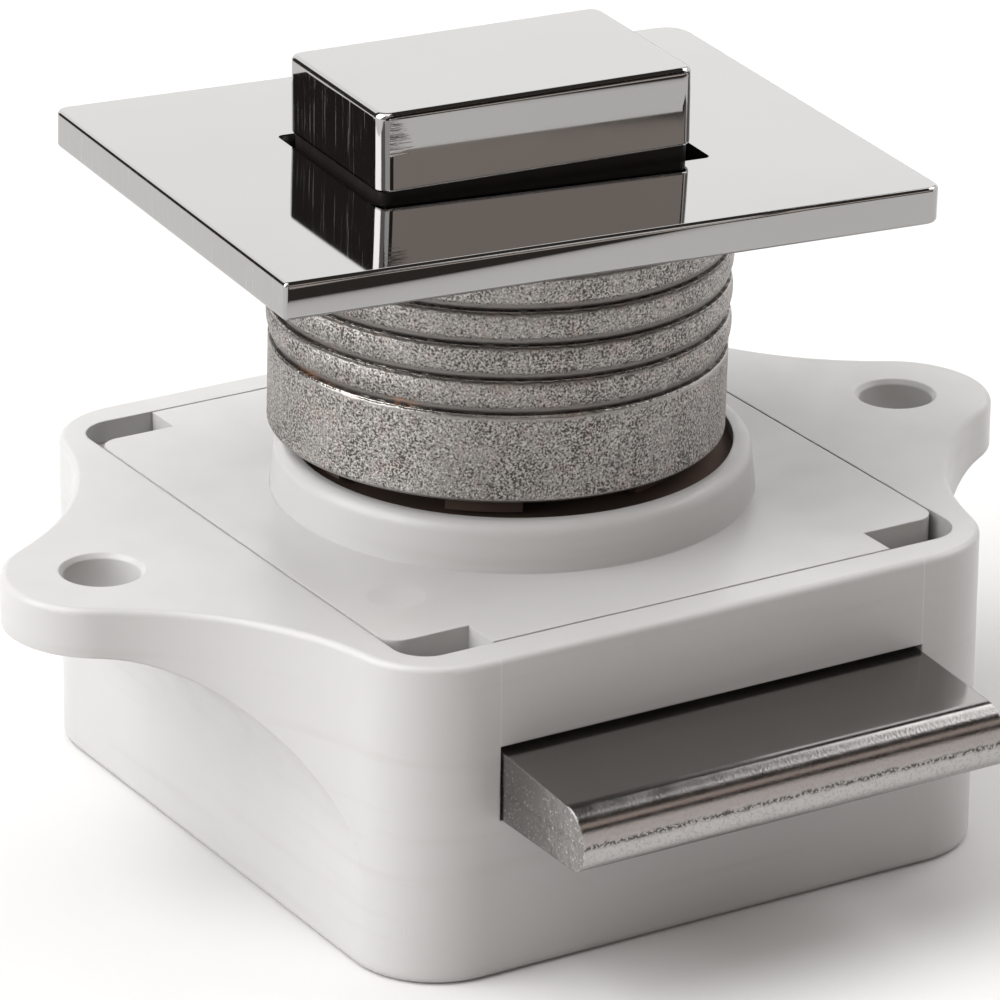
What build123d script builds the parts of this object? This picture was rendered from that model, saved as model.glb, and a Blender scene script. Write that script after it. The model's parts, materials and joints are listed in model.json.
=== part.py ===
"""Pushbutton rim latch: white plastic case with two ears, zinc bolt, and a plated knob set that stands on it.

Millimetres. Origin at the centre of the case's flat bottom face, on the axis of the case's round mouth.
+Z runs up that axis towards the button, +X is the way the bolt is thrown, and the ears lie along Y.
"""
import os
from math import atan2, cos, degrees, hypot, radians, sin, sqrt

from build123d import *

os.makedirs("parts", exist_ok=True)

# case
CASE_X = 42.0  # length along the bolt's throw
CASE_Y = 38.8  # width between the ears
CASE_H = 18.4  # height to the rim, the cover and the ears' top
CASE_CORNER_R = 5.0  # upright corners
CASE_EDGE_R = 0.5  # bottom edge
RIM_EDGE_R = 0.35  # outer edge of the rim
WALL_X = 2.1  # front and back walls
WALL_Y = 1.8  # side walls
FLOOR_T = 2.0
POCKET_R = 2.0  # upright corners of the inside

# ears
EAR_HOLE_SPACING = 51.6
EAR_HOLE_R = 2.1
EAR_HOLE_EDGE_R = 0.25
EAR_END_R = 5.5
EAR_T = 2.8
EAR_SWEEP_R = 18.0  # plan radius of the hollow flanks, which run into the case's upright corners
EAR_GUSSET_R = 9.5  # radius from the ear's underside down into the side wall

# cover
COVER_T = 2.4
COVER_GAP = 0.12  # between the cover and the walls
NOTCH_X = 2.5  # corner notches
NOTCH_Y = 4.9
NOTCH_R = 1.2  # rounded outer corner left by a notch
LUG_R = 1.5  # half-round lugs of the case inside the notches
LUG_DROP = 1.3  # lug top below the rim
COLLAR_H = 2.75
COLLAR_R = 13.25
COLLAR_FLARE = 0.25  # the foot's radius past the rim's
COLLAR_WALL = 1.0
COLLAR_EDGE_R = 0.75
LIP_W = 1.65  # lip inside the collar that the guide ring sits on
LIP_T = 1.2
DIMPLE_R = 1.6
DIMPLE_DEPTH = 0.1
DIMPLE_X = 11.0
DIMPLE_Y = 13.9

# bolt
THROW = 8.2
BOLT_W = 26.6
BOLT_T = 4.05
BOLT_DROP = 2.8  # cover's underside to the bolt's top
BOLT_HEAD_GAP = 0.2  # head to the plunger's block with the bolt fully in
BOLT_TOP_FALL = 0.6  # the top face drops this much towards the nose
NOSE_LOW_R = 1.1
NOSE_FLAT = 0.4  # upright face between the nose's two rounds
SLOT_GAP_SIDE = 0.1
SLOT_GAP_UNDER = 0.05
SLOT_GAP_OVER = 0.2
CHEEK_OUT_GAP = 0.2  # bolt side to guide wall
GUIDE_WALL_T = 1.4
RAIL_W = 1.3
FLANK_W = 3.8  # side bars of the bolt's tail
CHEEK_T = 2.0
CHEEK_CHAMFER = 1.0
CROSSBAR_T = 3.0
HOLD_DOWN_GAP = 0.1  # bolt's top to the cover's ribs
RIB_BACK_GAP = 1.0  # ends of the ribs to the case's walls
RIB_FRONT_GAP = 3.0

# drive: pins in the plunger, sloping slots in the bolt's cheeks
CAM_PIN_R = 1.2
CAM_PIN_FIT = 0.06  # running clearance in the slots
CAM_PIN_RISE = 2.76  # bolt's underside to the pins' axis at rest
CAM_PIN_IN = 5.4  # inner end of each pin from the axis
CAM_PIN_OUT_GAP = 0.3  # how far each pin stands out past its cheek
CAM_PIN_CHAMFER = 0.2
CAM_WALL = 1.6  # metal left round a slot
CAM_FLOOR_GAP = 2.25  # cheeks to the case's floor, which sets how deep the pins can go

# plunger
PLUNGER_R = 8.0
PLUNGER_FIT = 0.08  # running clearance in the guide ring
PLUNGER_EDGE_R = 0.5
PLUNGER_ROOF_T = 3.0
PLUNGER_WEB_GAP = 1.4  # plunger's top to the stem guide
BLOCK_X = 10.0  # lower block, along X
BLOCK_GAP = 0.3  # lower block to the bolt
BLOCK_DROP = 2.3  # lower block's underside below the pins' axis
BLOCK_TOP_GAP = 0.1  # lower block to the cover's underside
SPRING_BORE_R = 4.5
SPRING_BORE_GAP = 0.4  # spring to its bore
SPRING_PEG_GAP = 0.5  # spring to the peg
SPRING_PEG_H = 2.4
SPRING_PEG_CHAMFER = 0.4
MAIN_WIRE_R = 0.5
MAIN_TURNS = 7

# guide ring
GUIDE_DROP = 0.65  # below the collar's rim
GUIDE_GAP = 0.02  # light push fit in the collar's bore
GUIDE_SLOTS = 8
GUIDE_SLOT_L = 0.6  # reach of the slots out of the bore
GUIDE_SLOT_W = 2.4
GUIDE_SLOT_DEPTH = 1.1

# knob set: how it stands on the guide ring, unfastened and a little askew
KNOB_X = -0.73
KNOB_Y = -0.69
KNOB_TURN = -4.5  # degrees
KNOB_LEAN_X = -0.99
KNOB_LEAN_Y = 0.16
KNOB_LIFT = 0.84  # sleeve's end above the collar's rim
KNOB_SEAT_GAP = 0.01  # lowest foot to the guide ring

# escutcheon
PLATE_X = 30.4
PLATE_Y = 39.2
PLATE_T = 2.1
PLATE_RISE = 15.9  # sleeve's end to the plate's face
PLATE_OFF_X = -0.1  # plate's middle from the sleeve's axis
PLATE_OFF_Y = -0.55
PLATE_CORNER_R = 0.9
PLATE_SHARP_R = 0.25  # the corner over the case's front, -Y side, is the crisp one
PLATE_BACK_R = 1.5  # the corner across from it is the most rounded
PLATE_EDGE_R = 0.25
OPENING_GAP_X = 0.3  # button to the opening
OPENING_GAP_Y = 0.7
OPENING_R = 0.4
SLEEVE_R = 12.85
SLEEVE_WALL = 1.2
SLEEVE_CHAMFER = 0.15
RING_RISE = 5.19  # sleeve's end to the lowest groove, over the plain band
RING_TOP_LAND = 2.7  # top groove to the plate
RING_COUNT = 4
GROOVE_DEPTH = 0.32  # from the lands' crests to the foot of a groove
GROOVE_LEDGE = 0.125  # grooves' lower ledge below their middle
GROOVE_TAPER = 0.5  # height of the taper that runs from a groove's foot up into the land above
CROWN = 0.13  # how far the lands bulge past the plain band

# stem guide
GUIDE_FIT = 0.02  # light push fit in the sleeve
GUIDE_END_GAP = 0.2  # its body stops this far inside the sleeve's end
SKIRT_T = 1.73
FOOT_SET_IN = 0.85  # feet inside the sleeve's bore
FOOT_COUNT = 6
FOOT_W = 4.2
WEB_T = 2.2
WEB_GAP = 0.45  # slider to web with the button fully in
STEM_FIT = 0.08

# button: plated cap on a black slider that runs in the sleeve
BUTTON_X = 11.7
BUTTON_Y = 19.0
BUTTON_PROUD = 5.0  # button's top above the plate
BUTTON_CORNER_R = 0.8
BUTTON_EDGE_R = 0.35
CAP_LIFT = 0.55  # cap's lower edge above the plate, with the slider showing below it
CAP_EDGE_R = 0.2  # lower edge
CAP_WALL = 1.3
CAP_ROOF_T = 1.5
BOSS_R = 2.9
SLIDER_SET_IN = 0.2  # slider's block inside the cap's outline
PLUG_H = 1.0  # part of the slider inside the cap
PLUG_GAP = 0.05
FLANGE_T = 1.2
FLANGE_GAP = 0.3  # flange to the plate's underside
FLANGE_SIDE_GAP = 0.85  # flange to the sleeve's bore
STEM_R = 2.5
STEM_WALL = 1.0
STEM_CHAMFER = 0.3
STEM_GAP = 0.05  # stem end to the plunger's top
SCREW_FIT = 0.02
SCREW_HEAD_WALL = 0.5  # stem's wall round the head
SCREW_HEAD_T = 1.4
SCREW_SINK = 0.3  # head's face above the stem's end
SCREW_BITE = 0.3  # screw's tip past the inside of the cap's roof
DRIVE_W = 0.6
DRIVE_DEPTH = 0.7
BUTTON_WIRE_R = 0.3
BUTTON_COIL_GAP = 0.65  # spring to the stem
BUTTON_TURNS = 5
BUTTON_SPRING_GAP = 0.1  # between the spring and the leaning web
POCKET_GAP = 0.4  # spring to the slider's pocket

# how far a cut runs past a face, and how far fused forms run into each other
PAST = 1.0
INTO = 0.5

# derived, from the floor up
INNER_X = CASE_X / 2 - WALL_X
INNER_Y = CASE_Y / 2 - WALL_Y
EAR_Y = EAR_HOLE_SPACING / 2
CORNER_X = CASE_X / 2 - CASE_CORNER_R
CORNER_Y = CASE_Y / 2 - CASE_CORNER_R
COVER_Z0 = CASE_H - COVER_T
LIP_Z1 = COVER_Z0 + LIP_T
COLLAR_TOP = CASE_H + COLLAR_H
COLLAR_BORE_R = COLLAR_R - COLLAR_WALL
LIP_R = COLLAR_BORE_R - LIP_W
GUIDE_TOP = COLLAR_TOP - GUIDE_DROP
BOLT_TOP = COVER_Z0 - BOLT_DROP
BOLT_Z = BOLT_TOP - BOLT_T
BOLT_NOSE = CASE_X / 2 + THROW
BOLT_HEAD_BACK = BLOCK_X / 2 + BOLT_HEAD_GAP + THROW
NOSE_R = BOLT_T - BOLT_TOP_FALL - NOSE_LOW_R - NOSE_FLAT
CHEEK_IN = BOLT_W / 2 - FLANK_W
GUIDE_WALL_Y = BOLT_W / 2 + CHEEK_OUT_GAP
CHEEK_OUT = CHEEK_IN + CHEEK_T
CAM_SLOT_R = CAM_PIN_R + CAM_PIN_FIT
CAM_EDGE = CAM_SLOT_R + CAM_WALL
CAM_PIN_Z = BOLT_Z + CAM_PIN_RISE
PRESS = CAM_PIN_Z - CAM_EDGE - CAM_FLOOR_GAP - FLOOR_T  # how far button and plunger go down: 4.8
CAM_PIN_OUT = CHEEK_OUT + CAM_PIN_OUT_GAP
BLOCK_Y = CHEEK_IN - BLOCK_GAP
BLOCK_Z0 = CAM_PIN_Z - BLOCK_DROP
BLOCK_Z1 = COVER_Z0 - BLOCK_TOP_GAP
SHOULDER_Z = BOLT_TOP + PRESS + BLOCK_GAP  # round head of the plunger stays above the bolt
SLEEVE_END = COLLAR_TOP + KNOB_LIFT
SLEEVE_BORE_R = SLEEVE_R - SLEEVE_WALL
SKIRT_R = SLEEVE_BORE_R - SKIRT_T
FOOT_R = SLEEVE_BORE_R - FOOT_SET_IN
FOOT_END = GUIDE_TOP + KNOB_SEAT_GAP + FOOT_R * sin(radians(hypot(KNOB_LEAN_X, KNOB_LEAN_Y)))
PLATE_TOP = SLEEVE_END + PLATE_RISE
PLATE_Z0 = PLATE_TOP - PLATE_T
RING_Z = SLEEVE_END + RING_RISE
RING_PITCH = (PLATE_Z0 - RING_TOP_LAND - RING_Z) / (RING_COUNT - 1)
OPENING_X = BUTTON_X + 2 * OPENING_GAP_X
OPENING_Y = BUTTON_Y + 2 * OPENING_GAP_Y
BUTTON_TOP = PLATE_TOP + BUTTON_PROUD
CAP_Z0 = PLATE_TOP + CAP_LIFT
CAP_ROOF = BUTTON_TOP - CAP_ROOF_T
PLUG_Z1 = CAP_Z0 + PLUG_H
SPRING_ROOF = CAP_Z0
FLANGE_R = SLEEVE_BORE_R - FLANGE_SIDE_GAP
FLANGE_Z1 = PLATE_Z0 - FLANGE_GAP
FLANGE_Z0 = FLANGE_Z1 - FLANGE_T
WEB_Z1 = FLANGE_Z0 - PRESS - WEB_GAP
WEB_Z0 = WEB_Z1 - WEB_T
PLUNGER_TOP = WEB_Z0 - PLUNGER_WEB_GAP
SPRING_SEAT_Z = PLUNGER_TOP - PLUNGER_ROOF_T
MAIN_COIL_R = SPRING_BORE_R - SPRING_BORE_GAP - MAIN_WIRE_R  # to the middle of the wire
SPRING_PEG_R = MAIN_COIL_R - MAIN_WIRE_R - SPRING_PEG_GAP
STEM_Z0 = PLUNGER_TOP + STEM_GAP
STEM_BORE_R = STEM_R - STEM_WALL
BUTTON_COIL_R = STEM_R + BUTTON_COIL_GAP + BUTTON_WIRE_R
SCREW_R = STEM_BORE_R - SCREW_FIT
SCREW_HEAD_R = STEM_R - SCREW_HEAD_WALL
SCREW_Z0 = STEM_Z0 + SCREW_SINK
SCREW_TIP = CAP_ROOF + SCREW_BITE

# the escutcheon leans about the guide ring's top; the button stands upright through the middle of its web
KNOB = Pos(KNOB_X, KNOB_Y, GUIDE_TOP) * Rot(0, 0, KNOB_TURN) * Rot(0, KNOB_LEAN_Y, 0) * Rot(KNOB_LEAN_X, 0, 0)
KNOB *= Pos(0, 0, -GUIDE_TOP)
WEB_MIDDLE = (KNOB * Pos(0, 0, (WEB_Z0 + WEB_Z1) / 2)).position
UPRIGHT = Location((WEB_MIDDLE.X, WEB_MIDDLE.Y, 0), (0, 0, KNOB_TURN))


def box(x0, x1, y0, y1, z0, z1):
    """Box between two corners."""
    size = (x1 - x0, y1 - y0, z1 - z0)
    return Pos((x0 + x1) / 2, (y0 + y1) / 2, (z0 + z1) / 2) * Box(*size)


def tube(r, z0, z1, x=0.0, y=0.0):
    """Upright cylinder."""
    return Pos(x, y, (z0 + z1) / 2) * Cylinder(r, z1 - z0)


def cross_rod(r, y0, y1):
    """Cylinder along Y at the cam pins' height."""
    return Pos(0, (y0 + y1) / 2, CAM_PIN_Z) * Rot(90, 0, 0) * Cylinder(r, y1 - y0)


def slab(sketch, z0, z1):
    """Flat sketch pulled up from z0 to z1."""
    return Pos(0, 0, z0) * extrude(sketch, z1 - z0)


def both_sides(shape):
    """A shape and its mirror image across the plane through the bolt's middle."""
    return [shape, mirror(shape, Plane.XZ)]


def at_z(shape, z, tol=0.01):
    """Edges of a shape that lie wholly at one height."""
    boxes = [(e, e.bounding_box()) for e in shape.edges()]
    return [e for e, b in boxes if abs(b.min.Z - z) < tol and abs(b.max.Z - z) < tol]


def coil(mean_r, wire_r, z0, z1, turns):
    """Open coil spring between two flat seats, with a flat closed ring at each end."""
    low = z0 + wire_r
    high = z1 - wire_r
    rise = high - low - wire_r
    path = Pos(0, 0, low + wire_r / 2) * Helix(pitch=rise / turns, height=rise, radius=mean_r)
    section = Plane(origin=path @ 0, z_dir=path % 0) * Circle(wire_r)
    wound = sweep(section, path=path)
    rings = [Pos(0, 0, z) * Torus(mean_r, wire_r) for z in (low, high)]
    return wound + rings


def ear_outline():
    """Plan of the +Y ear: round end, and hollow flanks that touch it and the case's round corners."""
    dy = CORNER_Y - EAR_Y
    span = hypot(CORNER_X, dy)
    to_end = EAR_SWEEP_R + EAR_END_R
    to_corner = EAR_SWEEP_R + CASE_CORNER_R
    along = (to_end**2 - to_corner**2 + span**2) / (2 * span)
    off = sqrt(to_end**2 - along**2)
    ux, uy = CORNER_X / span, dy / span
    centre = Vector(along * ux - off * uy, EAR_Y + along * uy + off * ux)
    tip = Vector(0, EAR_Y) + (centre - Vector(0, EAR_Y)).normalized() * EAR_END_R
    root = Vector(CORNER_X, CORNER_Y) + (centre - Vector(CORNER_X, CORNER_Y)).normalized() * CASE_CORNER_R
    mid = centre + ((tip + root) / 2 - centre).normalized() * EAR_SWEEP_R
    right = [(tip.X, tip.Y), (mid.X, mid.Y), (root.X, root.Y)]
    left = [(-x, y) for x, y in reversed(right)]
    edges = [
        ThreePointArc(left[2], (0, EAR_Y + EAR_END_R), right[0]),
        ThreePointArc(*right),
        Polyline(right[2], (CORNER_X, INNER_Y), (-CORNER_X, INNER_Y), left[0]),
        ThreePointArc(*left),
    ]
    return make_face(Curve() + edges)


def ear():
    """The +Y ear: flat lug, its underside sweeping down into the side wall."""
    z_under = CASE_H - EAR_T
    z_low = z_under - EAR_GUSSET_R
    centre = CASE_Y / 2 + EAR_GUSSET_R
    far = max(EAR_Y + EAR_END_R, centre) + PAST
    below = box(-CASE_X, CASE_X, centre, far, z_low - PAST, z_under)
    hollow = Pos(0, centre, z_low) * Rot(0, 90, 0) * Cylinder(EAR_GUSSET_R, 2 * CASE_X)
    return slab(ear_outline(), z_low, CASE_H) - below - hollow


def case_body():
    """Case: tray with ears, bolt slot, guide walls, rails, spring peg and cover lugs."""
    body = slab(RectangleRounded(CASE_X, CASE_Y, CASE_CORNER_R), 0, CASE_H)
    body += both_sides(ear())
    body = fillet(at_z(body, 0), CASE_EDGE_R)
    body = fillet(at_z(body, CASE_H), RIM_EDGE_R)
    body -= slab(RectangleRounded(2 * INNER_X, 2 * INNER_Y, POCKET_R), FLOOR_T, CASE_H)
    hole = tube(EAR_HOLE_R, 0, CASE_H + PAST, 0, EAR_Y)
    mouth = Cone(EAR_HOLE_R, EAR_HOLE_R + EAR_HOLE_EDGE_R, EAR_HOLE_EDGE_R)
    mouth = Pos(0, EAR_Y, CASE_H - EAR_HOLE_EDGE_R / 2) * mouth
    body -= both_sides(hole + mouth)
    # walls beside the bolt, which also carry the cover, and the rails that the bolt slides on
    wall_y1 = GUIDE_WALL_Y + GUIDE_WALL_T
    wall = box(-INNER_X, INNER_X, GUIDE_WALL_Y, wall_y1, FLOOR_T, COVER_Z0)
    rail = box(-INNER_X, INNER_X, GUIDE_WALL_Y - RAIL_W, wall_y1, FLOOR_T, BOLT_Z - SLOT_GAP_UNDER)
    body += both_sides(wall + rail)
    # bolt slot through the front wall
    half = BOLT_W / 2 + SLOT_GAP_SIDE
    body -= box(INNER_X - PAST, CASE_X, -half, half, BOLT_Z - SLOT_GAP_UNDER, BOLT_TOP + SLOT_GAP_OVER)
    peg = tube(SPRING_PEG_R, FLOOR_T, FLOOR_T + SPRING_PEG_H)
    body += chamfer(at_z(peg, FLOOR_T + SPRING_PEG_H), SPRING_PEG_CHAMFER)
    inside = box(-INNER_X - INTO, INNER_X + INTO, -INNER_Y, INNER_Y, FLOOR_T, CASE_H)
    for side in (-1, 1):
        lug = tube(LUG_R, FLOOR_T, CASE_H - LUG_DROP, side * INNER_X, INNER_Y - NOTCH_Y / 2)
        body += both_sides(lug & inside)
    return body


def case_cover():
    """Cover: plate with four corner notches, raised collar, inner lip and two hold-down ribs."""
    hx = INNER_X - COVER_GAP
    hy = INNER_Y - COVER_GAP
    plan = Rectangle(2 * hx, 2 * hy)
    for sx in (-1, 1):
        for sy in (-1, 1):
            plan -= Pos(sx * hx, sy * hy) * Rectangle(2 * NOTCH_X, 2 * NOTCH_Y)
    outer = [v for v in plan.vertices() if abs(abs(v.Y) - hy) < COVER_GAP]
    cover = slab(fillet(outer, NOTCH_R), COVER_Z0, CASE_H)
    collar = Pos(0, 0, CASE_H + COLLAR_H / 2) * Cone(COLLAR_R + COLLAR_FLARE, COLLAR_R, COLLAR_H)
    cover += fillet(at_z(collar, COLLAR_TOP), COLLAR_EDGE_R)
    cover -= tube(COLLAR_BORE_R, LIP_Z1, COLLAR_TOP + PAST)
    cover -= tube(LIP_R, COVER_Z0 - PAST, COLLAR_TOP)
    dish_r = (DIMPLE_R**2 + DIMPLE_DEPTH**2) / (2 * DIMPLE_DEPTH)
    dish = Pos(DIMPLE_X, -DIMPLE_Y, CASE_H - DIMPLE_DEPTH + dish_r) * Sphere(dish_r)
    cover -= dish & tube(2 * DIMPLE_R, COVER_Z0, CASE_H + DIMPLE_DEPTH, DIMPLE_X, -DIMPLE_Y)
    # ribs that keep the bolt down
    y0 = CAM_PIN_OUT
    x0, x1 = RIB_BACK_GAP - INNER_X, INNER_X - RIB_FRONT_GAP
    rib = box(x0, x1, y0, BOLT_W / 2, BOLT_TOP + HOLD_DOWN_GAP, COVER_Z0)
    return cover + both_sides(rib)


def bolt_profile():
    """Side view of the bolt's head: flat underside, falling top, nose with a large and a small round."""
    fall = BOLT_TOP - BOLT_TOP_FALL
    high = (BOLT_NOSE - NOSE_R, fall - NOSE_R)
    low = (BOLT_NOSE - NOSE_LOW_R, BOLT_Z + NOSE_LOW_R)
    mid = sin(radians(45))
    low_mid = (low[0] + NOSE_LOW_R * mid, low[1] - NOSE_LOW_R * mid)
    high_mid = (high[0] + NOSE_R * mid, high[1] + NOSE_R * mid)
    edges = [
        Line((BOLT_HEAD_BACK, BOLT_Z), (low[0], BOLT_Z)),
        ThreePointArc((low[0], BOLT_Z), low_mid, (BOLT_NOSE, low[1])),
        Line((BOLT_NOSE, low[1]), (BOLT_NOSE, high[1])),
        ThreePointArc((BOLT_NOSE, high[1]), high_mid, (high[0], fall)),
        Polyline((high[0], fall), (INNER_X, BOLT_TOP), (BOLT_HEAD_BACK, BOLT_TOP), (BOLT_HEAD_BACK, BOLT_Z)),
    ]
    return make_face(Curve() + edges)


def latch_bolt():
    """Bolt: head with a rounded nose, open tail with two cam cheeks and a rear crossbar."""
    half = BOLT_W / 2
    head = Pos(0, half, 0) * extrude(Plane.XZ * bolt_profile(), BOLT_W)
    back = -BLOCK_X / 2 - BLOCK_GAP
    frame = box(back - CROSSBAR_T, BOLT_HEAD_BACK + INTO, -half, half, BOLT_Z, BOLT_TOP)
    frame -= box(back, BOLT_HEAD_BACK, -CHEEK_IN, CHEEK_IN, BOLT_Z - PAST, BOLT_TOP + PAST)
    low, high = CAM_PIN_Z - PRESS - CAM_EDGE, CAM_PIN_Z + CAM_EDGE
    cheek = box(-CAM_EDGE, THROW + CAM_EDGE, CHEEK_IN, CHEEK_OUT, low, high)
    cheek = chamfer(cheek.edges().filter_by(Axis.Y), CHEEK_CHAMFER)
    # the cam slots fall towards the front and run right through both cheeks
    slot = extrude(SlotCenterToCenter(hypot(THROW, PRESS), 2 * CAM_SLOT_R), BOLT_W, both=True)
    slope = Rot(0, degrees(atan2(PRESS, THROW)), 0) * Rot(90, 0, 0)
    slot = Pos(THROW / 2, 0, CAM_PIN_Z - PRESS / 2) * slope * slot
    return head + frame + both_sides(cheek) - slot


def plunger():
    """Plunger: round head in the guide ring, flat-sided neck, and a block between the bolt's cheeks."""
    half = BLOCK_X / 2
    head = tube(PLUNGER_R, BLOCK_Z0, PLUNGER_TOP)
    head = fillet(at_z(head, PLUNGER_TOP), PLUNGER_EDGE_R)
    neck = box(-half, half, -PLUNGER_R, PLUNGER_R, BLOCK_Z0, SHOULDER_Z)
    head &= neck + tube(PLUNGER_R + PAST, SHOULDER_Z, PLUNGER_TOP + PAST)
    body = head + box(-half, half, -BLOCK_Y, BLOCK_Y, BLOCK_Z0, BLOCK_Z1)
    body -= tube(SPRING_BORE_R, BLOCK_Z0 - PAST, SPRING_SEAT_Z)
    return body - both_sides(cross_rod(CAM_PIN_R, CAM_PIN_IN, BLOCK_Y + PAST))


def cam_pin():
    """Steel dowel in the plunger's block, its outer end rides in the bolt's cam slot: the +Y one."""
    pin = cross_rod(CAM_PIN_R, CAM_PIN_IN, CAM_PIN_OUT)
    return chamfer(pin.edges().filter_by(GeomType.CIRCLE), CAM_PIN_CHAMFER)


def plunger_guide():
    """Guide ring in the collar: bore for the plunger, slots round its top edge."""
    ring = tube(COLLAR_BORE_R - GUIDE_GAP, LIP_Z1, GUIDE_TOP)
    ring -= tube(PLUNGER_R + PLUNGER_FIT, 0, GUIDE_TOP + PAST)
    half = GUIDE_SLOT_W / 2
    slot = box(0, PLUNGER_R + GUIDE_SLOT_L, -half, half, GUIDE_TOP - GUIDE_SLOT_DEPTH, GUIDE_TOP + PAST)
    for i in range(GUIDE_SLOTS):
        ring -= Rot(0, 0, 360 * i / GUIDE_SLOTS) * slot
    return ring


def sleeve():
    """Ringed sleeve, still solid inside: plain band at its end, then grooves with crowned lands between."""
    top = PLATE_Z0 + INTO
    edge_r = SLEEVE_R - CROWN
    floor_r = SLEEVE_R - GROOVE_DEPTH
    ledges = [RING_Z - GROOVE_LEDGE + i * RING_PITCH for i in range(RING_COUNT)]
    edges = [Polyline((edge_r, top), (0, top), (0, SLEEVE_END), (edge_r - SLEEVE_CHAMFER, SLEEVE_END))]
    edges.append(Polyline(edges[0] @ 1, (edge_r, SLEEVE_END + SLEEVE_CHAMFER), (edge_r, ledges[0])))
    for ledge, end in zip(ledges, ledges[1:] + [top]):
        start = ledge + GROOVE_TAPER
        edges.append(Polyline((edge_r, ledge), (floor_r, ledge), (edge_r, start)))
        edges.append(ThreePointArc((edge_r, start), (SLEEVE_R, (start + end) / 2), (edge_r, end)))
    return revolve(Plane.XZ * make_face(Curve() + edges), Axis.Z)


def escutcheon():
    """Escutcheon: plate with the button's opening, and the ringed sleeve cast with it."""
    plate = slab(Rectangle(PLATE_X, PLATE_Y), PLATE_Z0, PLATE_TOP)
    radii = {(1, 1): PLATE_CORNER_R, (-1, -1): PLATE_CORNER_R, (1, -1): PLATE_SHARP_R, (-1, 1): PLATE_BACK_R}
    for (sx, sy), radius in radii.items():
        upright = plate.edges().filter_by(Axis.Z)
        plate = fillet(upright.sort_by(lambda e: sx * e.center().X + sy * e.center().Y)[-1], radius)
    plate = fillet(at_z(plate, PLATE_TOP) + at_z(plate, PLATE_Z0), PLATE_EDGE_R)
    middle = Pos(PLATE_OFF_X, PLATE_OFF_Y)
    body = middle * plate + sleeve()
    body -= tube(SLEEVE_BORE_R, SLEEVE_END - PAST, PLATE_Z0)
    opening = RectangleRounded(OPENING_X, OPENING_Y, OPENING_R)
    return body - middle * slab(opening, PLATE_Z0 - PAST, PLATE_TOP + PAST)


def stem_guide():
    """Insert in the sleeve: web with the stem's bore, skirt, and feet that stand on the guide ring."""
    part = tube(SLEEVE_BORE_R - GUIDE_FIT, SLEEVE_END + GUIDE_END_GAP, WEB_Z1)
    part -= tube(SKIRT_R, 0, WEB_Z0)
    ring = tube(FOOT_R, FOOT_END, WEB_Z0) - tube(SKIRT_R, 0, WEB_Z0 + PAST)
    sector = box(0, SLEEVE_R, -FOOT_W / 2, FOOT_W / 2, 0, WEB_Z0)
    part += [ring & (Rot(0, 0, 360 * (i + 0.5) / FOOT_COUNT) * sector) for i in range(FOOT_COUNT)]
    return part - tube(STEM_R + STEM_FIT, 0, WEB_Z1 + PAST)


def button_block(inset):
    """Plan of the button, set in all round, in the middle of the plate's opening."""
    return Pos(PLATE_OFF_X, PLATE_OFF_Y) * RectangleRounded(
        BUTTON_X - 2 * inset, BUTTON_Y - 2 * inset, max(BUTTON_CORNER_R - inset, BUTTON_EDGE_R)
    )


def button_cap():
    """Button cap: hollow plated block with a screw boss."""
    cap = slab(button_block(0), CAP_Z0, BUTTON_TOP)
    cap = fillet(at_z(cap, BUTTON_TOP), BUTTON_EDGE_R)
    cap = fillet(at_z(cap, CAP_Z0), CAP_EDGE_R)
    cap -= slab(button_block(CAP_WALL), CAP_Z0 - PAST, CAP_ROOF)
    cap += tube(BOSS_R, PLUG_Z1, CAP_ROOF + INTO)
    return cap - tube(STEM_BORE_R, CAP_Z0, SCREW_TIP)


def button_stem():
    """Slider: block under the cap, flange under the plate, spring pocket, and the stem to the plunger."""
    slider = slab(button_block(SLIDER_SET_IN), FLANGE_Z0, CAP_Z0)
    slider += slab(button_block(CAP_WALL + PLUG_GAP), CAP_Z0 - INTO, PLUG_Z1)
    slider += tube(FLANGE_R, FLANGE_Z0, FLANGE_Z1)
    slider -= tube(BUTTON_COIL_R + BUTTON_WIRE_R + POCKET_GAP, FLANGE_Z0 - PAST, SPRING_ROOF)
    stem = tube(STEM_R, STEM_Z0, SPRING_ROOF + INTO)
    slider += chamfer(at_z(stem, STEM_Z0), STEM_CHAMFER)
    slider -= tube(STEM_BORE_R, STEM_Z0 - PAST, PLUG_Z1 + PAST)
    return slider - tube(SCREW_HEAD_R + SCREW_FIT, STEM_Z0 - PAST, SCREW_Z0 + SCREW_HEAD_T)


def button_screw():
    """Screw that holds the cap on the slider, slotted head sunk in the stem's end."""
    head = tube(SCREW_HEAD_R, SCREW_Z0, SCREW_Z0 + SCREW_HEAD_T)
    shank = tube(SCREW_R, SCREW_Z0, SCREW_TIP)
    half = DRIVE_W / 2
    drive = box(-SCREW_HEAD_R, SCREW_HEAD_R, -half, half, SCREW_Z0 - PAST, SCREW_Z0 + DRIVE_DEPTH)
    return head + shank - drive


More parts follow.
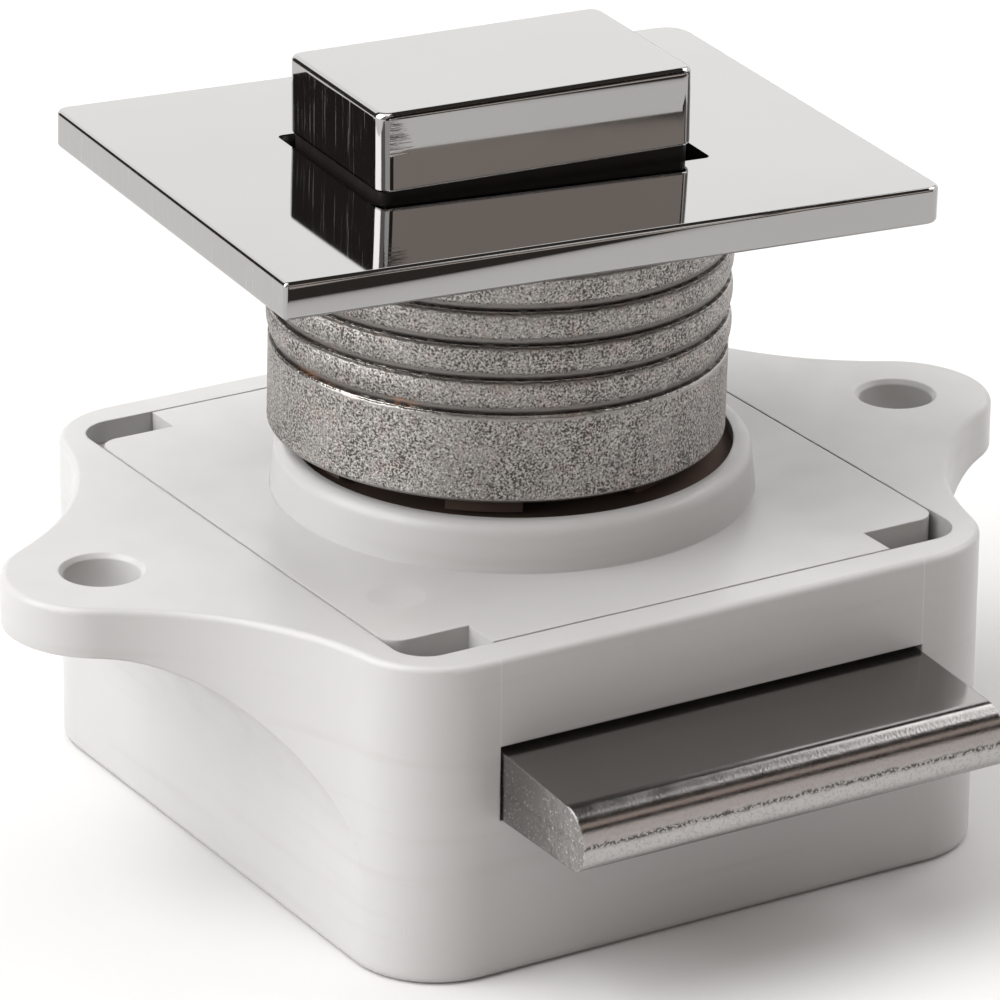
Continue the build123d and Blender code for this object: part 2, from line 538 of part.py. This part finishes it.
def main():
    """Write every piece."""
    right_pin = cam_pin()
    spring_z0 = WEB_Z1 + BUTTON_SPRING_GAP
    pieces = {
        "case_body": case_body(),
        "case_cover": case_cover(),
        "plunger_guide": plunger_guide(),
        "latch_bolt": latch_bolt(),
        "plunger": plunger(),
        "cam_pin_left": mirror(right_pin, Plane.XZ),
        "cam_pin_right": right_pin,
        "plunger_spring": coil(MAIN_COIL_R, MAIN_WIRE_R, FLOOR_T, SPRING_SEAT_Z, MAIN_TURNS),
        "escutcheon": KNOB * escutcheon(),
        "stem_guide": KNOB * stem_guide(),
        "button_cap": UPRIGHT * button_cap(),
        "button_stem": UPRIGHT * button_stem(),
        "button_screw": UPRIGHT * button_screw(),
        "button_spring": UPRIGHT * coil(BUTTON_COIL_R, BUTTON_WIRE_R, spring_z0, SPRING_ROOF, BUTTON_TURNS),
    }
    for name, shape in pieces.items():
        export_step(shape, f"parts/{name}.step")


main()
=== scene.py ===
import json
import math

import bpy
from mathutils import Matrix, Vector


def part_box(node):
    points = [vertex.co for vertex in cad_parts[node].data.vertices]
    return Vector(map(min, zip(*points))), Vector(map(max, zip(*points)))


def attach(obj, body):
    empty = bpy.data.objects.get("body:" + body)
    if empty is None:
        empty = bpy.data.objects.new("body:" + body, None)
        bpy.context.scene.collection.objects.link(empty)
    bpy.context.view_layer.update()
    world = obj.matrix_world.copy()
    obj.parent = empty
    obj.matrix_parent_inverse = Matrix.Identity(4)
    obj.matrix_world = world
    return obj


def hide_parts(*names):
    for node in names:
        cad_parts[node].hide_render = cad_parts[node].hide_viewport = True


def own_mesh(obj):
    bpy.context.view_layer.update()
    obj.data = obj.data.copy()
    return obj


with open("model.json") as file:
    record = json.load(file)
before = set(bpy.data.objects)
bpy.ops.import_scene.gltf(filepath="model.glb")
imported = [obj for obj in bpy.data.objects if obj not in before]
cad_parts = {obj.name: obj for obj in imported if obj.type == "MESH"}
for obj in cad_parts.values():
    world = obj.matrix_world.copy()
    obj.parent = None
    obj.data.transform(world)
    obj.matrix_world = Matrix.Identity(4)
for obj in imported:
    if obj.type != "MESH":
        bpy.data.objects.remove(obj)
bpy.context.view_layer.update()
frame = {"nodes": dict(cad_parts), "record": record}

MM = 0.001
# the knob set's own frame, as it stands turned and leaning on the guide ring
KNOB_AXIS = (-0.73 * MM, -0.69 * MM, 0)
KNOB_TILT = tuple(math.radians(a) for a in (-0.99, 0.16, -4.5))
# sleeve
SLEEVE_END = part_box("escutcheon")[0][2]
CAST_REACH = 13.6 * MM  # as-cast skin ends this far from the sleeve's axis
LOW_LEDGE = 27.055 * MM
RING_PITCH = 1.97 * MM
NICK = (11.62 * MM, 2.48 * MM, 27.35 * MM)  # casting flaw in the lowest groove
COPPER_SPOTS = (
    ((0.8 * MM, -13.35 * MM, 27.4 * MM), 2.6 * MM),
    ((6.6 * MM, -11.1 * MM, 27.6 * MM), 1.6 * MM),
)
# plate and button
PLATE_UNDER = 35.79 * MM
PLATE_TOP = 37.89 * MM
PLATE_HALF = (15 * MM, 19 * MM)
ROLL_ENDS = (-18 * MM, 18 * MM)  # where along Y the rolled edges have their first and last depth
CAP_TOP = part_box("button_cap")[1][2]
CAP_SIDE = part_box("button_cap")[0][1]
POLISH_DEPTH = 0.17 * MM  # relief of the polished faces
FRONT_SLOPE = 0.035  # fall of the button's front for its height
# case and bolt
CASE_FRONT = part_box("case_body")[1][0]
SLOT_HALF = 13.4 * MM
SLOT_TOP = 13.4 * MM
BROWN_BELOW = 21 * MM  # the guide ring in the mouth is brown, what stands above it black
BLACK_ABOVE = 22 * MM
PARTING_Z = 10.8 * MM  # mould line on the bolt's nose
NOSE_FOOT = 10.4 * MM
NOSE_HEAD = 12.7 * MM
NOSE_FALL = 0.45 * MM
NOSE_DEPTH = 0.007 * MM  # relief of the bolt's grain
# keeps the floor clear of the case's flat bottom
FLOOR_GAP = 0.02 * MM
# camera, fitted to the photograph's straight edges and circles
EYE = Vector((0.28846, -0.17669, 0.15719))
AIM = Vector((-0.00099, -0.00018, 0.01680))
ROLL = math.radians(0.547)
LENS = 236.51
SENSOR = 36
# power of an area light of 1 square metre that looks as bright as a white surface
WATTS = math.pi


class Graph:
    """Node tree of one material, with short calls for the nodes that the materials use."""

    def __init__(self, name):
        self.material = bpy.data.materials.new(name)
        self.material.use_nodes = True
        self.tree = self.material.node_tree
        self.tree.nodes.clear()
        self.shader = self.tree.nodes.new("ShaderNodeBsdfPrincipled")
        out = self.tree.nodes.new("ShaderNodeOutputMaterial")
        self.tree.links.new(self.shader.outputs[0], out.inputs[0])
        source = self.tree.nodes.new("ShaderNodeTexCoord")
        self.place = source.outputs["Object"]
        self.facing = source.outputs["Normal"]

    def feed(self, socket, value):
        """Link an output to the socket, or set the socket to a plain value."""
        if isinstance(value, bpy.types.NodeSocket):
            self.tree.links.new(value, socket)
        elif socket.type == "RGBA":
            socket.default_value = (*value, 1)
        else:
            socket.default_value = value

    def node(self, kind, *values, **settings):
        made = self.tree.nodes.new("ShaderNode" + kind)
        for key, value in settings.items():
            setattr(made, key, value)
        for socket, value in zip(made.inputs, values):
            self.feed(socket, value)
        return made

    def set(self, **values):
        """Feed the Principled shader; underscores stand for the blanks in its sockets' names."""
        for key, value in values.items():
            self.feed(self.shader.inputs[key.replace("_", " ")], value)

    def math(self, operation, *values):
        return self.node("Math", *values, operation=operation).outputs[0]

    def chain(self, operation, values):
        """One value out of several, taken two at a time."""
        result = values[0]
        for value in values[1:]:
            result = self.math(operation, result, value)
        return result

    def add(self, *values):
        return self.chain("ADD", values)

    def both(self, *masks):
        return self.chain("MULTIPLY", masks)

    def either(self, *masks):
        return self.chain("MAXIMUM", masks)

    def without(self, mask):
        return self.math("SUBTRACT", 1.0, mask)

    def span(self, value, start, end, low=0.0, high=1.0):
        """Smooth step of a value from low at start to high at end."""
        made = self.node("MapRange", value, start, end, low, high, interpolation_type="SMOOTHSTEP")
        return made.outputs[0]

    def axes(self, vector):
        return self.node("SeparateXYZ", vector).outputs

    def mapped(self, scale):
        """Coordinates scaled per axis, in features per metre."""
        made = self.node("Mapping", self.place)
        made.inputs["Scale"].default_value = scale
        return made.outputs[0]

    def noise(self, scale, detail, vector=None, roughness=0.5):
        made = self.node("TexNoise", vector or self.place)
        made.inputs["Scale"].default_value = scale
        made.inputs["Detail"].default_value = detail
        made.inputs["Roughness"].default_value = roughness
        return made.outputs["Fac"]

    def mix(self, share, first, second):
        """Colour between two colours."""
        made = self.tree.nodes.new("ShaderNodeMix")
        made.data_type = "RGBA"
        for index, value in ((0, share), (6, first), (7, second)):
            self.feed(made.inputs[index], value)
        return made.outputs[2]

    def near(self, value, centre, reach):
        """1 where a value is at the centre, down to 0 where it is further off than the reach."""
        off = self.math("ABSOLUTE", self.math("SUBTRACT", value, centre))
        return self.span(off, reach, 0.0)

    def spot(self, centre, reach):
        """1 at a point of the part, down to 0 at the reach."""
        off = self.node("VectorMath", self.place, centre, operation="DISTANCE").outputs["Value"]
        return self.span(off, reach, 0.0)

    def specks(self, spacing, radius, share):
        """Round specks, one in that share of the cells of a loose grid."""
        made = self.node("TexVoronoi", self.place)
        made.inputs["Scale"].default_value = 1 / spacing
        dot = self.span(made.outputs["Distance"], radius / spacing, 0.6 * radius / spacing)
        picked = self.math("LESS_THAN", self.axes(made.outputs["Color"])[0], share)
        return self.both(dot, picked)

    def rounded(self, radius):
        """Normal with the crisp edges rounded, and a mask of those edges."""
        soft = self.node("Bevel", radius, samples=2).outputs[0]
        true = self.node("NewGeometry").outputs["Normal"]
        flat = self.node("VectorMath", soft, true, operation="DOT_PRODUCT").outputs["Value"]
        return soft, self.span(flat, 0.99, 0.85)

    def bump(self, height, depth, normal=None):
        """Relief: a height of 1 stands out by the depth, in metres."""
        made = self.node("Bump", 1.0, depth)
        self.feed(made.inputs["Height"], height)
        if normal is not None:
            self.feed(made.inputs["Normal"], normal)
        return made.outputs[0]


def case_plastic():
    """Off-white moulded plastic: flow streaks, specks, fine scratches, mould lines, and a painted highlight
    on the crisp edges.
    """
    g = Graph("case_plastic")
    x, y, z = g.axes(g.place)
    soft, edges = g.rounded(0.18 * MM)
    colour = g.mix(g.noise(60, 4), (0.455, 0.449, 0.444), (0.50, 0.495, 0.49))
    streaks = g.span(g.noise(1, 4, g.mapped((60, 60, 900))), 0.52, 0.75)
    colour = g.mix(g.math("MULTIPLY", streaks, 0.3), colour, (0.40, 0.388, 0.374))
    # painted highlight: the crisp edges are lightened in the colour, standing in for the sheen of their
    # rounding
    colour = g.mix(g.math("MULTIPLY", edges, 0.35), colour, (0.62, 0.615, 0.605))
    on_front = g.span(x, CASE_FRONT - 0.3 * MM, CASE_FRONT - 0.1 * MM)
    over_slot = g.span(z, SLOT_TOP - 0.1 * MM, SLOT_TOP + 0.1 * MM)
    mould_lines = g.both(g.near(g.math("ABSOLUTE", y), SLOT_HALF, 0.07 * MM), on_front, over_slot)
    colour = g.mix(g.math("MULTIPLY", mould_lines, 0.4), colour, (0.66, 0.65, 0.64))
    specks = g.specks(3.2 * MM, 0.05 * MM, 0.16)
    colour = g.mix(g.math("MULTIPLY", specks, 0.6), colour, (0.25, 0.21, 0.17))
    scratches = g.span(g.noise(1, 2, g.mapped((90, 4000, 500))), 0.70, 0.78)
    grain = g.noise(3800, 3)
    relief = g.math("SUBTRACT", g.math("MULTIPLY", grain, 0.35), g.add(scratches, mould_lines))
    waves = g.bump(g.noise(110, 2), 0.05 * MM, soft)
    g.set(
        Base_Color=colour,
        Roughness=g.span(g.noise(420, 4), 0.3, 0.7, 0.28, 0.38),
        Specular_IOR_Level=0.45,
        Subsurface_Weight=0.1,
        Subsurface_Radius=(2.4 * MM, 2.2 * MM, 2.0 * MM),
        Normal=g.bump(relief, 0.006 * MM, waves),
    )
    return g.material


def black_plastic():
    """Black moulded plastic, with the guide ring in the mouth a dull dark brown."""
    g = Graph("black_plastic")
    height = g.axes(g.place)[2]
    black = g.mix(g.noise(500, 3), (0.010, 0.0085, 0.008), (0.018, 0.015, 0.014))
    brown = g.mix(g.noise(350, 3), (0.10, 0.070, 0.058), (0.135, 0.097, 0.080))
    in_mouth = g.span(height, BLACK_ABOVE, BROWN_BELOW)
    satin = g.span(g.noise(900, 3), 0.3, 0.7, 0.36, 0.5)
    g.set(
        Base_Color=g.mix(in_mouth, black, brown),
        Roughness=g.add(satin, g.math("MULTIPLY", in_mouth, 0.3)),
        Specular_IOR_Level=g.span(in_mouth, 0.0, 1.0, 0.22, 0.08),
        Normal=g.bump(g.noise(2500, 3), 0.004 * MM),
    )
    return g.material


def steel():
    """Drawn and turned bright steel with fine lines round the pieces' axes."""
    g = Graph("steel")
    lines = g.noise(1, 3, g.mapped((400, 400, 9000)))
    g.set(
        Base_Color=g.mix(g.noise(900, 3), (0.46, 0.455, 0.45), (0.60, 0.60, 0.59)),
        Metallic=1.0,
        Roughness=g.span(lines, 0.3, 0.7, 0.18, 0.36),
        Normal=g.bump(lines, 0.002 * MM),
    )
    return g.material


def knob_place(g):
    """Coordinates in the knob set's own frame, with heights as on its upright axis."""
    made = g.node("Mapping", g.place, vector_type="TEXTURE")
    made.inputs["Location"].default_value = KNOB_AXIS
    made.inputs["Rotation"].default_value = KNOB_TILT
    return made.outputs[0]


def cast_skin(g, height):
    """As-cast skin: fine pits, smoother and rolled over at the rings' edges, with painted shade in the
    grooves.
    """
    wobble = g.math("MULTIPLY", g.math("SUBTRACT", g.noise(1800, 3), 0.5), 0.2 * MM)
    level = g.add(height, wobble)
    phase = g.math("FRACT", g.math("DIVIDE", g.math("SUBTRACT", level, LOW_LEDGE), RING_PITCH))
    ringed = g.math("GREATER_THAN", level, LOW_LEDGE)
    # mask for the painted shade at the foot of each ring's groove
    groove_shade = g.both(g.span(phase, 0.15, 0.02), ringed)
    lip = g.either(
        g.both(g.span(phase, 0.86, 1.0), ringed),
        g.both(g.span(level, LOW_LEDGE - 0.28 * MM, LOW_LEDGE), g.without(ringed)),
    )
    on_land = g.both(g.span(phase, 0.14, 0.26), g.span(phase, 0.94, 0.86), ringed)
    on_band = g.both(
        g.span(level, LOW_LEDGE - 0.15 * MM, LOW_LEDGE - 0.5 * MM),
        g.span(level, SLEEVE_END + 0.3 * MM, SLEEVE_END + 0.5 * MM),
    )
    pitted = g.either(on_land, on_band)
    grain = g.noise(7800, 2, roughness=0.6)
    patches = g.math("MULTIPLY", g.math("SUBTRACT", g.noise(380, 3), 0.5), 0.3)
    pits = g.both(g.span(g.add(grain, patches), 0.50, 0.36), pitted)
    tops = g.both(g.span(grain, 0.5, 0.68), pitted)
    stains = g.span(g.noise(900, 2), 0.52, 0.66)
    colour = g.mix(g.noise(180, 3), (0.275, 0.26, 0.247), (0.36, 0.343, 0.327))
    colour = g.mix(g.math("MULTIPLY", stains, 0.5), colour, (0.37, 0.31, 0.29))
    colour = g.mix(g.math("MULTIPLY", tops, 0.75), colour, (0.66, 0.64, 0.615))
    colour = g.mix(g.math("MULTIPLY", pits, 0.92), colour, (0.06, 0.053, 0.048))
    # painted shade: the grooves are darkened in the colour
    colour = g.mix(g.math("MULTIPLY", groove_shade, 0.6), colour, (0.05, 0.043, 0.04))
    for place, reach in COPPER_SPOTS:
        worn = g.both(g.spot(place, reach), g.span(phase, 0.30, 0.12), g.span(g.noise(2500, 2), 0.4, 0.6))
        colour = g.mix(g.math("MULTIPLY", worn, 0.8), colour, (0.55, 0.33, 0.22))
    colour = g.mix(g.spot(NICK, 0.35 * MM), colour, (0.60, 0.55, 0.52))
    relief = g.both(grain, g.add(g.math("MULTIPLY", pitted, 0.8), 0.2))
    relief = g.math("SUBTRACT", relief, g.math("MULTIPLY", g.both(lip, lip), 2.8))
    dull = g.add(g.math("MULTIPLY", pitted, 0.08), 0.40)
    roughness = g.math("SUBTRACT", dull, g.math("MULTIPLY", lip, 0.26))
    return colour, relief, roughness


def rolled(g, top, depth, low, high):
    """Fall of an upright face that rolls over below its top edge, over a depth that varies along Y."""
    y, z = g.axes(g.place)[1:]
    reach = g.span(y, *ROLL_ENDS, *depth)
    into = g.math("MAXIMUM", g.math("SUBTRACT", z, g.math("SUBTRACT", top, reach)), 0.0)
    inside = g.both(g.math("GREATER_THAN", z, low), g.math("LESS_THAN", z, high))
    return g.both(g.math("POWER", g.math("DIVIDE", into, reach), 2.0), g.math("DIVIDE", reach, MM), inside)


def polished_shape(g):
    """Normal of the polished faces: fronts that roll over at the top, buffed corner, crowned plate."""
    x, y, z = g.axes(g.place)
    front = g.span(g.axes(g.facing)[0], 0.8, 0.95)
    cap = rolled(g, CAP_TOP, (0.35 * MM, 0.9 * MM), PLATE_TOP, CAP_TOP + 0.3 * MM)
    plate = rolled(g, PLATE_TOP, (1.5 * MM, 0.3 * MM), PLATE_UNDER - MM, PLATE_TOP + 0.1 * MM)
    on_button = g.math("GREATER_THAN", z, PLATE_TOP + 0.2 * MM)
    draft = g.both(g.math("MULTIPLY", z, FRONT_SLOPE / POLISH_DEPTH), on_button)
    buff = g.both(
        g.span(g.noise(1, 2, g.mapped((500, 500, 9000))), 0.35, 0.7),
        g.span(y, CAP_SIDE + 2.2 * MM, CAP_SIDE + 0.3 * MM),
        g.span(z, CAP_TOP - 2.6 * MM, CAP_TOP - 1.2 * MM),
    )
    fall = g.both(g.add(cap, plate, draft, g.math("MULTIPLY", buff, 0.09)), front)
    across = g.math("POWER", g.math("DIVIDE", x, PLATE_HALF[0]), 4.0)
    along = g.math("POWER", g.math("DIVIDE", y, PLATE_HALF[1]), 4.0)
    crown = g.math("MULTIPLY", g.add(across, along), 0.25)
    return g.bump(g.add(fall, crown), -POLISH_DEPTH)


def plated_zinc():
    """Bright plating, polished to a mirror on plate and button and left as cast on the sleeve."""
    g = Graph("plated_zinc")
    across, along, height = g.axes(knob_place(g))
    radius = g.math("SQRT", g.add(g.both(across, across), g.both(along, along)))
    cast = g.both(
        g.span(radius, CAST_REACH, CAST_REACH - 0.2 * MM),
        g.span(height, PLATE_UNDER + 0.05 * MM, PLATE_UNDER - 0.05 * MM),
    )
    skin, relief, cast_rough = cast_skin(g, height)
    ny, nz = g.axes(g.facing)[1:]
    on_side = g.span(g.math("ABSOLUTE", ny), 0.6, 0.9)
    on_top = g.span(g.math("ABSOLUTE", nz), 0.6, 0.9)
    fine = g.span(g.noise(1, 3, g.mapped((7000, 7000, 260))), 0.54, 0.74)
    hairs = g.span(g.noise(1, 2, g.mapped((3200, 3200, 120))), 0.66, 0.74)
    swirls = g.span(g.noise(1, 2, g.mapped((260, 4200, 400))), 0.70, 0.80)
    upright = g.both(g.either(fine, hairs), g.add(g.math("MULTIPLY", on_side, 0.95), 0.05))
    level = g.math("MULTIPLY", g.both(swirls, on_top), 0.4)
    scratches = g.either(g.both(upright, g.without(on_top)), level)
    specks = g.specks(2.6 * MM, 0.045 * MM, 0.3)
    polish = g.mix(g.noise(120, 3), (0.372, 0.369, 0.365), (0.394, 0.391, 0.387))
    polish = g.mix(g.math("MULTIPLY", scratches, 0.25), polish, (0.55, 0.54, 0.53))
    polish = g.mix(g.math("MULTIPLY", specks, 0.7), polish, (0.20, 0.19, 0.18))
    mirror = g.span(g.noise(300, 3), 0.3, 0.7, 0.03, 0.05)
    blend = g.node("Mix", cast, data_type="FLOAT")
    g.feed(blend.inputs[2], g.add(mirror, g.math("MULTIPLY", scratches, 0.28)))
    g.feed(blend.inputs[3], cast_rough)
    g.set(
        Base_Color=g.mix(cast, polish, skin),
        Metallic=1.0,
        Roughness=blend.outputs[0],
        Normal=g.bump(g.both(relief, cast), 0.05 * MM, polished_shape(g)),
    )
    return g.material


def bolt_zinc():
    """Dark nickel plating: smooth top, grained nose with a broken mould line, hammered ends."""
    g = Graph("bolt_zinc")
    height = g.axes(g.place)[2]
    nx, ny = g.axes(g.facing)[:2]
    soft, edges = g.rounded(0.15 * MM)
    grain = g.noise(6500, 2, roughness=0.6)
    nose = g.span(nx, 0.55, 0.8)
    ends = g.span(g.math("ABSOLUTE", ny), 0.5, 0.8)
    wobble = g.math("MULTIPLY", g.math("SUBTRACT", g.noise(1500, 2), 0.5), 0.35 * MM)
    line = g.both(g.near(g.add(height, wobble), PARTING_Z, 0.26 * MM), g.span(grain, 0.42, 0.52))
    broken = g.add(g.math("MULTIPLY", nose, 0.9), g.math("MULTIPLY", ends, 0.25))
    painted_nose_bands = g.span(height, PARTING_Z - 0.1 * MM, PARTING_Z + 0.4 * MM)
    hollows = g.both(nose, g.span(grain, 0.5, 0.38))
    specks = g.specks(1.9 * MM, 0.04 * MM, 0.3)
    colour = g.mix(g.noise(150, 3), (0.27, 0.26, 0.253), (0.31, 0.30, 0.292))
    # painted reflection: the nose is lighter below the mould line and darker, pinkish above it, standing in
    # for the bands it reflects
    colour = g.mix(nose, colour, g.mix(painted_nose_bands, (0.41, 0.40, 0.39), (0.31, 0.287, 0.275)))
    colour = g.mix(g.math("MULTIPLY", hollows, 0.4), colour, (0.26, 0.21, 0.20))
    colour = g.mix(g.both(line, broken), colour, (0.04, 0.035, 0.032))
    # partly wear and partly painted highlight: the crisp edges, the ends' upper curve among them, are
    # lightened in the colour
    colour = g.mix(g.math("MULTIPLY", edges, 0.5), colour, (0.70, 0.69, 0.68))
    colour = g.mix(g.math("MULTIPLY", specks, 0.7), colour, (0.75, 0.73, 0.70))
    colour = g.mix(g.both(ends, g.span(grain, 0.58, 0.7)), colour, (0.62, 0.60, 0.58))
    rising = g.both(g.span(height, NOSE_FOOT, NOSE_HEAD), g.without(ends))
    turned_down = g.math("MULTIPLY", rising, NOSE_FALL / NOSE_DEPTH)
    rough = g.either(g.math("MULTIPLY", g.span(nx, 0.2, 0.6), 0.9), ends)
    dents = g.math("MULTIPLY", g.both(g.noise(1300, 2), ends), 5.0)
    satin = g.span(g.noise(800, 3), 0.3, 0.7, 0.10, 0.15)
    g.set(
        Base_Color=colour,
        Metallic=1.0,
        Roughness=g.add(satin, g.math("MULTIPLY", rough, 0.08)),
        Normal=g.bump(g.add(g.both(grain, rough), dents, turned_down), NOSE_DEPTH, soft),
    )
    return g.material


def pressed_spring(node):
    """The CAD spring's own coil, as a copy of its mesh hung under the case's empty, with the CAD solid
    hidden.
    """
    solid = frame["nodes"][node]
    coil = bpy.data.objects.new(node + "_coil", solid.data.copy())
    bpy.context.collection.objects.link(coil)
    coil.matrix_world = solid.matrix_world
    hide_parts(node)
    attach(coil, "case")
    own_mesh(coil)


def softbox(name, azimuth, elevation, distance, width, height, brightness, colour=(1, 1, 1)):
    """Area light that faces the part from a direction in degrees, as bright as that many white surfaces."""
    light = bpy.data.lights.new(name, "AREA")
    light.shape = "RECTANGLE"
    light.size = width
    light.size_y = height
    light.energy = WATTS * width * height * brightness
    light.color = colour
    box = bpy.data.objects.new(name, light)
    bpy.context.collection.objects.link(box)
    a = math.radians(azimuth)
    e = math.radians(elevation)
    towards = Vector((math.cos(a) * math.cos(e), math.sin(a) * math.cos(e), math.sin(e)))
    box.location = distance * towards
    box.rotation_euler = towards.to_track_quat("Z", "Y").to_euler()


# finishes of the CAD pieces
finishes = {make.__name__: make() for make in (case_plastic, black_plastic, plated_zinc, bolt_zinc, steel)}
for part in frame["record"]["subparts"]:
    slots = frame["nodes"][part["node"]].data.materials
    slots.clear()
    slots.append(finishes[part["material_slot"]])

# springs
pressed_spring("button_spring")
pressed_spring("plunger_spring")

# floor
bpy.ops.mesh.primitive_plane_add(size=4, location=(0, 0, -FLOOR_GAP))
floor = bpy.context.object
floor.name = "floor"
paper = Graph("floor")
paper.set(Base_Color=(0.66, 0.655, 0.65), Roughness=0.9)
floor.data.materials.append(paper.material)

# camera
optics = bpy.data.cameras.new("camera")
optics.sensor_width = SENSOR
optics.lens = LENS
optics.clip_start = 0.01
camera = bpy.data.objects.new("camera", optics)
bpy.context.collection.objects.link(camera)
bpy.context.scene.camera = camera
back = (EYE - AIM).normalized()
side = Vector((0, 0, 1)).cross(back).normalized()
turn = Matrix((side, back.cross(side), back)).transposed()
camera.matrix_world = Matrix.Translation(EYE) @ turn.to_4x4() @ Matrix.Rotation(ROLL, 4, "Z")

# light: eight soft boxes round the part in a dim room
room = bpy.data.worlds.new("room")
room.use_nodes = True
room.node_tree.nodes["Background"].inputs["Color"].default_value = (0.055, 0.047, 0.042, 1)
bpy.context.scene.world = room
softbox("key", 258, 37, 0.9, 0.85, 1.1, 4.75)
softbox("behind", 161, 24, 1.1, 1.2, 0.7, 1.49)
softbox("overhead", 235, 80, 0.9, 0.75, 0.75, 2.2)
softbox("side", 90, 45, 0.9, 0.7, 0.4, 3.6)
softbox("low_right", 94, 15, 0.9, 1.4, 0.42, 1.25)
softbox("front", -12, 50, 0.9, 0.8, 0.6, 0.5, (1.0, 0.93, 0.88))
softbox("low_front", -42, 20, 0.9, 1.0, 0.45, 0.38, (1.0, 0.93, 0.88))
softbox("fill", 31, 23, 1.0, 0.5, 0.27, 0.69, (1.0, 0.88, 0.81))
bpy.context.scene.view_settings.view_transform = "Standard"
